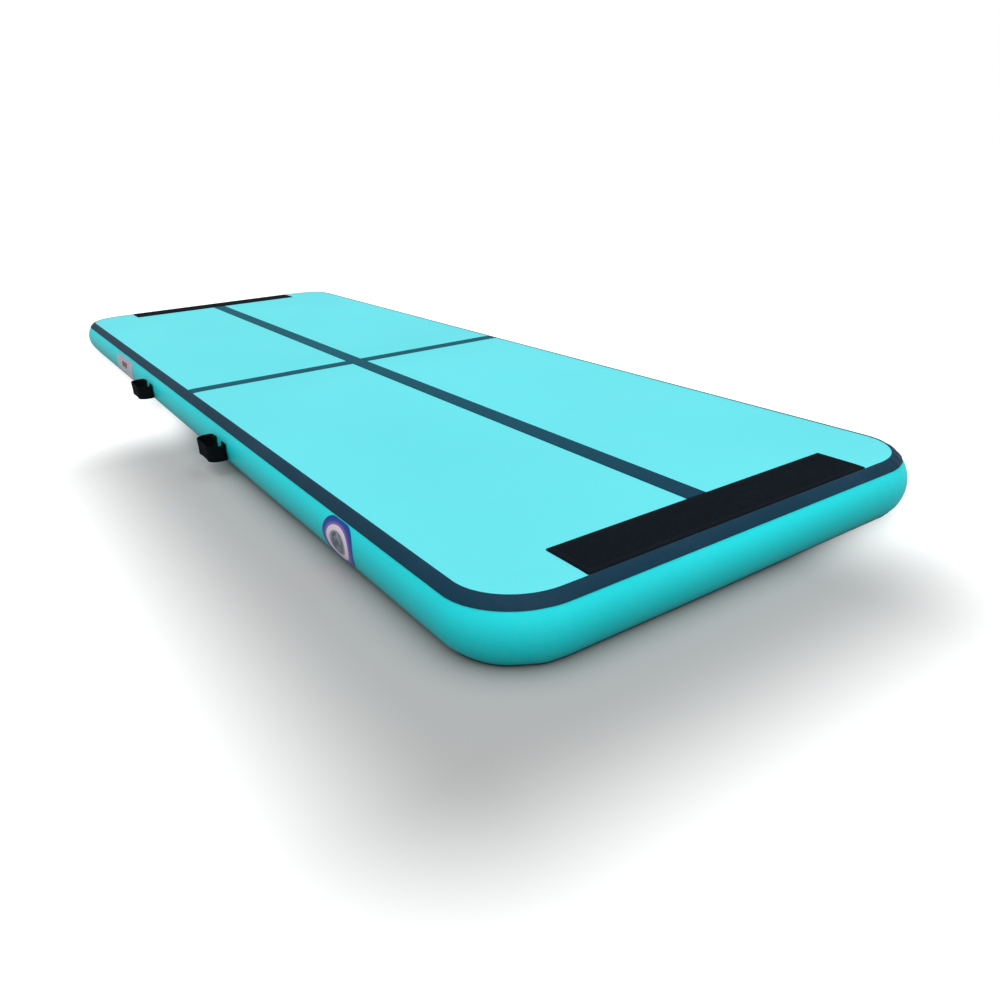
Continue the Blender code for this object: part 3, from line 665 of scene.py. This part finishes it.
def outline_stations():
    """Points round the crease, anticlockwise from the right: (point, outward, turning)."""
    stations = []
    for index, (sign_x, sign_y, quarter) in enumerate(QUARTERS):
        centre = Vector((sign_x * CORNER_X, sign_y * CORNER_Y))
        for step in range(CORNER_STEPS + 1):
            angle = (quarter + step / CORNER_STEPS) * pi / 2
            outward = Vector((cos(angle), sin(angle)))
            stations.append((centre + outward * CORNER_RADIUS, outward, sin(pi * step / CORNER_STEPS)))
        next_x, next_y, _ = QUARTERS[(index + 1) % 4]
        next_centre = Vector((next_x * CORNER_X, next_y * CORNER_Y))
        angle = (quarter + 1) * pi / 2
        outward = Vector((cos(angle), sin(angle)))
        start = centre + outward * CORNER_RADIUS
        end = next_centre + outward * CORNER_RADIUS
        count = int((end - start).length / SIDE_STEP)
        for step in range(1, count):
            stations.append((start.lerp(end, step / count), outward, 0.0))
    return stations


STATIONS = outline_stations()


def shoulder_drop(inside):
    """How far the deck has sunk at a distance inside the crease: it rolls over gently into the wall."""
    share = max(0.0, 1.0 - inside / SHOULDER_WIDTH)
    return SHOULDER_DROP * share**2


def edge_distance(x, y):
    """Distance inside the crease outline of a point on the deck."""
    over_x = abs(x) - CORNER_X
    over_y = abs(y) - CORNER_Y
    if over_x > 0 and over_y > 0:
        return CORNER_RADIUS - hypot(over_x, over_y)
    return CORNER_RADIUS - max(over_x, over_y)


def deck_z(x, y):
    return HEIGHT - shoulder_drop(edge_distance(x, y))


def ground_z(x, y):
    return 0.0


def wall_ripple(point, turning, angle):
    """Relief of the wall: puckers beside the seams, strongest in the corners, and a slow wander."""
    travel = atan2(point.y, point.x) * 3.0 + point.y * 4.0 + point.x * 3.0
    beside_seam = abs(sin(angle / WALL_HALF_ANGLE * pi / 2)) ** 3
    pucker = sin(travel * PUCKER_RATE + 2.0 * noise.noise((point.x * 9, point.y * 9, 1.7)))
    corner = PUCKER_HEIGHT * (0.12 + turning) * beside_seam * pucker
    wander = RIPPLE_HEIGHT * noise.noise((point.x * 5.0, point.y * 5.0, angle * 1.3))
    return corner + wander - RIPPLE_HEIGHT * 0.7


def wall_place(point, outward, turning, angle, offset):
    """A point on the side wall: angle above mid-height, offset outward from the wall's face."""
    reach = WALL_RADIUS + offset + wall_ripple(point, turning, angle)
    u = WALL_CENTRE + reach * cos(angle)
    top_share = max(0.0, sin(angle) / sin(WALL_HALF_ANGLE)) ** 4
    z = HALF_HEIGHT + reach * sin(angle) - SHOULDER_DROP * top_share
    base = point + outward * u
    return Vector((base.x, base.y, max(z, 0.0)))


def bridge(bm, rings):
    """Joins each ring of vertices to the next, all the way round."""
    for here, after in zip(rings, rings[1:]):
        for index in range(len(here)):
            follow = (index + 1) % len(here)
            bm.faces.new((here[index], after[index], after[follow], here[follow]))


def cap_ends(bm, rings):
    bm.faces.new(rings[0][::-1])
    bm.faces.new(rings[-1])


def closed_band(run, outer, inner):
    """A closed band round the mat. run gives one station's points at an offset from the wall's face."""
    bm = bmesh.new()
    rings = []
    for station in STATIONS:
        column = run(station, outer) + run(station, inner)[::-1]
        rings.append([bm.verts.new(point) for point in column])
    bridge(bm, rings + rings[:1])
    return bm


def wall_run(station, start, end, steps, offset):
    """Points on the wall at one station, from one angle to another."""
    spread = (end - start) / steps
    return [wall_place(*station, start + spread * step, offset) for step in range(steps + 1)]


def write_uv(bm, layer, coordinates):
    for face in bm.faces:
        for loop in face.loops:
            loop[layer].uv = coordinates[loop.vert]


# ------------------------ chamber skins


def add_chamber_sheet(name, node, finish, level, outward_normal):
    """A skin: rings shrink inward from the edge to one flat middle, at level's height."""
    insets = [SKIN_SETBACK + SHOULDER_WIDTH * (step / 8) ** 1.4 for step in range(9)]
    insets += [CORNER_RADIUS * 0.6, CORNER_RADIUS * 0.95]
    bm = bmesh.new()
    rings = []
    for inset in insets:
        ring = []
        for point, outward, _ in STATIONS:
            spot = point - outward * inset
            ring.append(bm.verts.new((spot.x, spot.y, level(spot.x, spot.y))))
        rings.append(ring)
    bridge(bm, rings)
    bm.faces.new(rings[-1])
    piece = add_piece(name, bm, finish, "mat")
    if piece.data.polygons[-1].normal.z * outward_normal < 0:
        piece.data.flip_normals()
    solid = piece.modifiers.new("thickness", "SOLIDIFY")
    solid.thickness = SKIN_THICKNESS
    solid.offset = -1.0
    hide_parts(node)
    return piece


def add_skins():
    deck = add_chamber_sheet("deck_skin", "top_skin", "deck", deck_z, 1)
    under = add_chamber_sheet("underside_skin", "bottom_skin", "underside", ground_z, -1)


def wall_band_run(station, offset):
    return wall_run(station, WALL_HALF_ANGLE, -WALL_HALF_ANGLE, WALL_STEPS, offset)


def add_wall_band():
    """The bulged side wall, bored for the valve."""
    bm = closed_band(wall_band_run, 0.0, -WALL_THICKNESS)
    piece = add_piece("wall_band", bm, "wall", None)
    cut_valve_hole(piece)
    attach(piece, "mat")
    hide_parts("side_wall")


def cut_valve_hole(piece):
    """Bores the wall for the valve's barrel and bakes the cut into the mesh."""
    low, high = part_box("valve_boot")
    middle = (low + high) / 2
    bm = bmesh.new()
    bmesh.ops.create_cone(bm, cap_ends=True, segments=48, depth=0.06,
                          radius1=BARREL_HOLE_RADIUS, radius2=BARREL_HOLE_RADIUS)
    turn = Matrix.Rotation(pi / 2, 4, "Y")
    bmesh.ops.transform(bm, verts=bm.verts, matrix=Matrix.Translation(middle) @ turn)
    mesh = bpy.data.meshes.new("barrel_drill")
    bm.to_mesh(mesh)
    bm.free()
    drill = bpy.data.objects.new("barrel_drill", mesh)
    bpy.context.scene.collection.objects.link(drill)
    cut = piece.modifiers.new("barrel_drill", "BOOLEAN")
    cut.object = drill
    cut.operation = "DIFFERENCE"
    cut.solver = "EXACT"
    bake_modifiers(piece)
    bpy.data.objects.remove(drill)


def bake_modifiers(piece):
    graph = bpy.context.evaluated_depsgraph_get()
    baked = bpy.data.meshes.new_from_object(piece.evaluated_get(graph))
    piece.modifiers.clear()
    piece.data = baked


# ------------------------ tapes


def upper_tape_run(station, lift):
    point, outward, _ = station
    run = []
    for share in (1.0, 0.7, 0.3):
        base = point - outward * (TAPE_LAP * share)
        run.append(Vector((base.x, base.y, deck_z(base.x, base.y) + lift)))
    return run + wall_run(station, WALL_HALF_ANGLE, UPPER_TAPE_EDGE, 9, lift)[1:]


def lower_tape_run(station, lift):
    return wall_run(station, LOWER_TAPE_START, LOWER_TAPE_EDGE, 8, lift)


def add_upper_tape():
    """The wide upper tape: a short lap on the deck and a long drop down the wall."""
    bm = closed_band(upper_tape_run, LAYER_GAP + TAPE_THICKNESS, LAYER_GAP)
    piece = add_piece("upper_edge_tape", bm, "tape", "mat")
    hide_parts("top_edge_tape")


def add_lower_tape():
    """The narrow lower tape round the foot of the wall."""
    bm = closed_band(lower_tape_run, LAYER_GAP + TAPE_THICKNESS, LAYER_GAP)
    piece = add_piece("lower_edge_tape", bm, "tape", "mat")
    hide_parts("bottom_edge_tape")


# ------------------------ floor lines and joining panels


def add_deck_strip(name, node, finish, thickness, corner, crown=0.0):
    """A thin strip laid on the deck over a node's footprint, with eased edges."""
    low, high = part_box(node)
    middle = (low + high) / 2
    half_x = (high.x - low.x) / 2
    half_y = (high.y - low.y) / 2
    border = []
    for sign_x, sign_y, quarter in QUARTERS:
        for step in range(5):
            angle = (quarter + step / 4) * pi / 2
            border.append(Vector((sign_x * (half_x - corner) + corner * cos(angle),
                                  sign_y * (half_y - corner) + corner * sin(angle))))
    dense = []
    for first, second in zip(border, border[1:] + border[:1]):
        count = max(1, int((second - first).length / STRIP_STEP))
        dense += [first.lerp(second, step / count) for step in range(count)]
    half = thickness * 0.5
    bm = bmesh.new()
    rings = []
    for inset, height in ((0.0, 0.0), (0.0, half), (half, thickness), (CROWN_INSET, thickness + crown)):
        ring = []
        for spot in dense:
            toward = Vector((max(-half_x + inset, min(half_x - inset, spot.x)),
                             max(-half_y + inset, min(half_y - inset, spot.y))))
            x = middle.x + toward.x
            y = middle.y + toward.y
            ring.append(bm.verts.new((x, y, deck_z(x, y) + LAYER_GAP + height)))
        rings.append(ring)
    bridge(bm, rings)
    cap_ends(bm, rings)
    piece = add_piece(name, bm, finish, "mat")
    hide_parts(node)


def add_floor_lines():
    for node in ("centre_line", "cross_line_left", "cross_line_right"):
        add_deck_strip(f"{node}_strip", node, "line", LINE_THICKNESS, LINE_CORNER)


def add_join_panels():
    for node in ("front_join_panel", "rear_join_panel"):
        name = f"{node}_pile"
        add_deck_strip(name, node, "pile", PANEL_THICKNESS, PANEL_CORNER, PANEL_CROWN)
        add_panel_stitching(node)


def add_panel_stitching(node):
    """Two rows of lock stitches inside the panel's border, each stitch a small rounded bar."""
    low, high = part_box(node)
    bm = bmesh.new()
    for inset in PANEL_STITCH_INSETS:
        left, right = low.x + inset, high.x - inset
        near, far = low.y + inset, high.y - inset
        corners = [Vector(spot) for spot in ((left, near), (right, near), (right, far), (left, far))]
        for first, second in zip(corners, corners[1:] + corners[:1]):
            length = (second - first).length
            count = int(length / PANEL_STITCH_PITCH)
            along = (second - first).normalized()
            for index in range(count):
                spot = first + along * (length * (index + 0.5) / count)
                centre = Vector((spot.x, spot.y, deck_z(spot.x, spot.y) + LAYER_GAP + PANEL_THICKNESS))
                add_stitch(bm, centre, along.to_3d(), *PANEL_STITCH)
    add_piece(f"{node}_stitching", bm, "black_thread", "mat")


def add_stitch(bm, centre, along, length, radius):
    """A stitch: a short six-sided bar, fat in the middle and tucked in at both ends."""
    side = along.cross(Vector((0, 0, 1)))
    if side.length < 0.1:
        side = along.cross(Vector((1, 0, 0)))
    side.normalize()
    lift = side.cross(along).normalized()
    rings = []
    for share, width in ((-0.5, 0.35), (-0.25, 1.0), (0.25, 1.0), (0.5, 0.35)):
        ring = []
        for step in range(6):
            angle = tau * step / 6
            offset = side * cos(angle) * radius * width + lift * sin(angle) * radius * width
            ring.append(bm.verts.new(centre + along * (length * share) + offset))
        rings.append(ring)
    bridge(bm, rings)
    cap_ends(bm, rings)


# ------------------------ badge and label on the left wall


def grid_rim(grid):
    """The vertices round the border of a grid, in order."""
    right = [row[-1] for row in grid[:-1]]
    left = [row[0] for row in grid[:0:-1]]
    return grid[0][:-1] + right + grid[-1][:0:-1] + left


def wall_patch(name, node, finish, round_share):
    """A film patch on the wall over a node's place, with its UV from -1 to 1."""
    low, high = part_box(node)
    side = 1 if high.x + low.x > 0 else -1
    middle_y = (low.y + high.y) / 2
    half_length = (high.y - low.y) / 2
    half_girth = WALL_RADIUS * asin((high.z - HALF_HEIGHT) / (WALL_RADIUS + 0.001))
    corner = half_girth * round_share
    bm = bmesh.new()
    uv_layer = bm.loops.layers.uv.new("patch")
    coordinates = {}
    shells = []
    for offset in (LAYER_GAP * 1.5, LAYER_GAP * 1.5 + FILM_THICKNESS):
        grid = []
        for step in range(PATCH_STEPS + 1):
            girth = -half_girth * cos(pi * step / PATCH_STEPS)
            into_corner = max(0.0, abs(girth) - half_girth + corner)
            half = half_length - corner + sqrt(max(0.0, corner**2 - into_corner**2))
            half = max(half, PATCH_LEAST_HALF)
            row = []
            for column in range(PATCH_ROWS + 1):
                y = middle_y + half * (2 * column / PATCH_ROWS - 1)
                point = Vector((side * CREASE_X, y))
                spot = wall_place(point, Vector((side, 0.0)), 0.0, girth / WALL_RADIUS, offset)
                vertex = bm.verts.new(spot)
                coordinates[vertex] = ((y - middle_y) / half_length, girth / half_girth)
                row.append(vertex)
            grid.append(row)
        shells.append(grid)
    for grid in shells:
        for row, above in zip(grid, grid[1:]):
            for column in range(PATCH_ROWS):
                bm.faces.new((row[column], row[column + 1], above[column + 1], above[column]))
    bridge(bm, [grid_rim(grid) for grid in shells])
    write_uv(bm, uv_layer, coordinates)
    piece = add_piece(name, bm, finish, "mat")
    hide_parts(node)


def add_badge_and_label():
    wall_patch("oval_ring_badge", "side_emblem", "badge", 0.995)
    wall_patch("plain_side_label", "side_label", "label", 0.48)


# ------------------------ carry handles


def wall_inset(z):
    """How far the wall has curved back from its widest line at a height above mid-height."""
    return sqrt(WALL_RADIUS**2 - z * z) - WALL_RADIUS


def handle_line(low_y, high_y, reach):
    """Middle line of a strap seen from above, from its front end to its rear end.

    Each point is (outward from the wall, y). The strap lies on the wall at each end, then turns out.
    """
    middle = (low_y + high_y) / 2
    half = (high_y - low_y) / 2
    start = STRAP_END_GAP - half
    edge = STRAP_EDGE_GAP - half
    straight = reach - STRAP_BEND
    points = []
    for share in (0.0, 0.35, 0.7, 1.0):
        points.append((STRAP_STANDOFF, start + STRAP_TAB - share * (STRAP_TAB - STRAP_ROOT)))
    for step in range(1, 7):
        angle = pi / 2 * step / 6
        u = STRAP_STANDOFF + STRAP_ROOT * (1 - cos(angle)) * 0.9
        points.append((u, start + STRAP_ROOT * (1 - sin(angle))))
    points.append(((STRAP_STANDOFF + STRAP_ROOT + straight) / 2, edge))
    for step in range(9):
        angle = pi / 2 * step / 8
        u = straight + STRAP_BEND * sin(angle) - STRAP_END_GAP
        points.append((u, edge + STRAP_BEND * (1 - cos(angle))))
    for share in (0.3, 0.6):
        u = reach - STRAP_END_GAP - 0.0015 * sin(pi * share / 1.2)
        points.append((u, (STRAP_BEND - half) * (1 - share)))
    mirrored = [(u, -y) for u, y in reversed(points)]
    return [(u, y + middle) for u, y in points + mirrored]


def add_handle(side_name, end_name):
    name = f"{side_name}_{end_name}_handle"
    strap_low, strap_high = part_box(f"{name}_strap")
    side = 1 if strap_high.x > 0 else -1
    reach = max(abs(strap_low.x), abs(strap_high.x)) - HALF_X
    half_width = (strap_high.z - strap_low.z) / 2
    line = handle_line(strap_low.y, strap_high.y, reach)
    bm = bmesh.new()
    uv_layer = bm.loops.layers.uv.new("strap")
    rows = range(STRAP_ROWS)
    profile = [(row, 0.5) for row in rows] + [(row, -0.5) for row in reversed(rows)]
    travel = [0.0]
    for (au, ay), (bu, by) in zip(line, line[1:]):
        travel.append(travel[-1] + hypot(bu - au, by - ay))
    coordinates = {}
    sections = []
    for index, (u, y) in enumerate(line):
        before = Vector(line[max(index - 1, 0)])
        after = Vector(line[min(index + 1, len(line) - 1)])
        along = (after - before).normalized()
        normal = Vector((along.y, -along.x))
        near = max(0.0, 1.0 - max(0.0, u - 0.0025) / 0.016)
        cupping = STRAP_CUP * min(1.0, max(0.0, u - 0.02) / 0.03)
        section = []
        for row, face in profile:
            share = 2 * row / (STRAP_ROWS - 1) - 1
            z = share * half_width
            edge = max(0.0, abs(share) - STRAP_EDGE) / (1 - STRAP_EDGE)
            depth = STRAP_THICKNESS * face * (1 - STRAP_EDGE_THINNING * edge)
            at_u = u + normal.x * depth + wall_inset(z) * near**2 - cupping * (1 - share**2)
            spot = (side * (HANDLE_WALL + at_u), y + normal.y * depth, HALF_HEIGHT + z)
            vertex = bm.verts.new(spot)
            coordinates[vertex] = (travel[index], z)
            section.append(vertex)
        sections.append(section)
    bridge(bm, sections)
    cap_ends(bm, sections)
    write_uv(bm, uv_layer, coordinates)
    piece = add_piece(f"{name}_webbing", bm, "webbing", None)
    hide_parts(f"{name}_strap", f"{name}_front_anchor", f"{name}_rear_anchor")
    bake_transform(piece)
    add_handle_stitching(name, side, line, half_width)


def add_handle_stitching(name, side, line, half_width):
    """A sewn box with a cross on each end of the strap, where it is held to the wall."""
    bm = bmesh.new()
    top = half_width - BOX_INSET
    for end in (line[:4], line[-4:]):
        ys = sorted((end[0][1], end[-1][1]))
        low_y, high_y = ys[0] + 0.003, ys[1] - 0.002
        corners = [Vector(spot) for spot in ((low_y, -top), (high_y, -top), (high_y, top), (low_y, top))]
        diagonals = [(corners[0], corners[2]), (corners[1], corners[3])]
        for first, second in list(zip(corners, corners[1:] + corners[:1])) + diagonals:
            number = max(3, int((second - first).length / BOX_STITCH_PITCH))
            run_y, run_z = (second - first).normalized()
            for index in range(number):
                y, z = first.lerp(second, (index + 0.5) / number)
                slope = -z / sqrt(WALL_RADIUS**2 - z * z)
                along = Vector((side * slope * run_z, run_y, run_z)).normalized()
                out = HANDLE_WALL + STITCH_STANDOFF + wall_inset(z)
                add_stitch(bm, Vector((side * out, y, HALF_HEIGHT + z)), along, *BOX_STITCH)
    add_piece(f"{name}_box_stitching", bm, "black_thread", "mat")


def add_handles():
    for side_name in ("left", "right"):
        for end_name in ("front", "rear"):
            add_handle(side_name, end_name)


# ------------------------ return spring


def add_return_spring():
    """The valve's return spring, drawn as a finer coil."""
    low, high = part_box("valve_spring")
    middle = (low + high) / 2
    wire = SPRING_WIRE_RADIUS
    coil = (high.z - low.z) / 2 - wire
    length = high.x - low.x - 2 * wire
    steps = SPRING_TURNS * SPRING_STEPS_PER_TURN
    bm = bmesh.new()
    rings = []
    for step in range(steps + 1):
        share = step / steps
        around = tau * SPRING_TURNS * share
        outward = Vector((0, cos(around), sin(around)))
        centre = Vector((low.x + wire + length * share, middle.y, middle.z)) + outward * coil
        ring = []
        for corner in range(8):
            angle = tau * corner / 8
            skin = outward * (wire * cos(angle)) + Vector((wire * sin(angle), 0, 0))
            ring.append(bm.verts.new(centre + skin))
        rings.append(ring)
    bridge(bm, rings)
    cap_ends(bm, rings)
    piece = add_piece("return_spring", bm, "wire", "mat")
    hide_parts("valve_spring")
    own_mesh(piece)


# ------------------------ CAD nodes that stay


def finish_cad_nodes():
    """Materials for the nodes that are shown as they are, and eased edges on the valve's outer parts."""
    yarns = [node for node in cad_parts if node.startswith("drop_yarn")]
    wearers = {
        "base_cloth": ["top_base_fabric", "bottom_base_fabric", *yarns],
        "seam": ["inner_top_seam_tape", "inner_bottom_seam_tape"],
        "boot": ["valve_boot"],
        "plastic": ["valve_clamp_nut", "valve_body", "valve_poppet", "valve_cap"],
        "rubber": ["valve_gasket", "poppet_seal", "tether_collar", "cap_tether", "cap_seal"],
    }
    for finish, nodes in wearers.items():
        for node in nodes:
            finish_node(node, finish)
    for node in ("valve_cap", "tether_collar", "cap_tether", "valve_boot"):
        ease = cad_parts[node].modifiers.new("eased_edges", "BEVEL")
        ease.width = 0.0004
        ease.segments = 2
        ease.limit_method = "ANGLE"
        ease.angle_limit = radians(SHARP_ANGLE)


# ------------------------ floor, light and camera


def add_floor():
    """A pale floor with a broad soft painted shadow by the near corner, running out into the white
    backdrop through a glow seen only by the camera away from the shadow.
    """
    bm = bmesh.new()
    bmesh.ops.create_grid(bm, x_segments=1, y_segments=1, size=FLOOR_REACH)
    mesh = bpy.data.meshes.new("studio_floor")
    bm.to_mesh(mesh)
    bm.free()
    material, tree, shader = start_material("studio_floor", 0.9, Specular_IOR_Level=0.0)
    across = place_axes(tree)
    squares = []
    for axis, centre, half in zip("XY", SHADE_CENTRE, SHADE_HALF):
        beside = maths(tree, "ABSOLUTE", maths(tree, "SUBTRACT", across[axis], centre))
        past = maths(tree, "MAXIMUM", maths(tree, "SUBTRACT", beside, half), 0.0)
        squares.append(maths(tree, "MULTIPLY", past, past))
    away = maths(tree, "SQRT", maths(tree, "ADD", *squares))
    far = remap(tree, away, 0.0, SHADE_REACH)
    far.node.interpolation_type = "SMOOTHSTEP"
    # Painted shadow: the floor's colour drops to FLOOR_NEAR near the mat, and its glow fades out there.
    level = maths(tree, "ADD", FLOOR_NEAR, maths(tree, "MULTIPLY", far, FLOOR_FAR - FLOOR_NEAR))
    grey = tree.nodes.new("ShaderNodeCombineColor")
    for channel in ("Red", "Green", "Blue"):
        tree.links.new(level, grey.inputs[channel])
    tree.links.new(grey.outputs["Color"], shader.inputs["Base Color"])
    shader.inputs["Emission Color"].default_value = WHITE
    seen = tree.nodes.new("ShaderNodeLightPath").outputs["Is Camera Ray"]
    glow = maths(tree, "MULTIPLY", maths(tree, "MULTIPLY", far, seen), FLOOR_GLOW)
    tree.links.new(glow, shader.inputs["Emission Strength"])
    mesh.materials.append(material)
    floor = bpy.data.objects.new("studio_floor", mesh)
    bpy.context.scene.collection.objects.link(floor)


def add_sun(name, direction, spread, strength):
    """A soft panel far away. Direction is the way that its light travels, and spread is in degrees."""
    data = bpy.data.lights.new(name, "SUN")
    data.angle = radians(spread)
    data.energy = strength
    light = bpy.data.objects.new(name, data)
    light.rotation_euler = Vector(direction).to_track_quat("-Z", "Y").to_euler()
    bpy.context.scene.collection.objects.link(light)


def add_lights():
    """Soft light from overhead and from the front, a pale surround, and a pure white backdrop."""
    world = bpy.data.worlds.new("studio")
    world.use_nodes = True
    tree = world.node_tree
    surround = tree.nodes["Background"]
    surround.inputs["Color"].default_value = (0.97, 0.99, 1.0, 1.0)
    surround.inputs["Strength"].default_value = SURROUND
    backdrop = tree.nodes.new("ShaderNodeBackground")
    backdrop.inputs["Strength"].default_value = BACKDROP
    path = tree.nodes.new("ShaderNodeLightPath")
    mix = tree.nodes.new("ShaderNodeMixShader")
    tree.links.new(path.outputs["Is Camera Ray"], mix.inputs["Fac"])
    tree.links.new(surround.outputs[0], mix.inputs[1])
    tree.links.new(backdrop.outputs[0], mix.inputs[2])
    tree.links.new(mix.outputs[0], tree.nodes["World Output"].inputs["Surface"])
    bpy.context.scene.world = world
    add_sun("overhead_panel", (0.05, 0.12, -1.0), 80, OVERHEAD)
    add_sun("front_panel", (0.10, 0.90, -0.45), 60, FRONT_FILL)
    bpy.context.scene.view_settings.view_transform = "Standard"


def add_camera():
    """Stands near the front left corner, turned along the mat and tipped down, with a slight roll."""
    heading = radians(34.845)
    tip = radians(22.655)
    roll = radians(-2.539)
    forward = Vector((sin(heading) * cos(tip), cos(heading) * cos(tip), -sin(tip)))
    level = forward.cross(Vector((0, 0, 1))).normalized()
    upright = level.cross(forward)
    right = level * cos(roll) + upright * sin(roll)
    up = upright * cos(roll) - level * sin(roll)
    data = bpy.data.cameras.new("studio_camera")
    data.sensor_width = 36.0
    data.lens = 30.278
    data.shift_x = -0.0446
    data.shift_y = 0.0012
    camera = bpy.data.objects.new("studio_camera", data)
    turn = Matrix((right, up, -forward)).transposed().to_4x4()
    camera.matrix_world = Matrix.Translation((-0.9459, -2.2772, HEIGHT + 0.5414)) @ turn
    bpy.context.scene.collection.objects.link(camera)
    bpy.context.scene.camera = camera


def main():
    add_camera()
    add_floor()
    add_lights()
    finish_cad_nodes()
    add_skins()
    add_wall_band()
    add_upper_tape()
    add_lower_tape()
    add_floor_lines()
    add_join_panels()
    add_badge_and_label()
    add_handles()
    add_return_spring()


main()
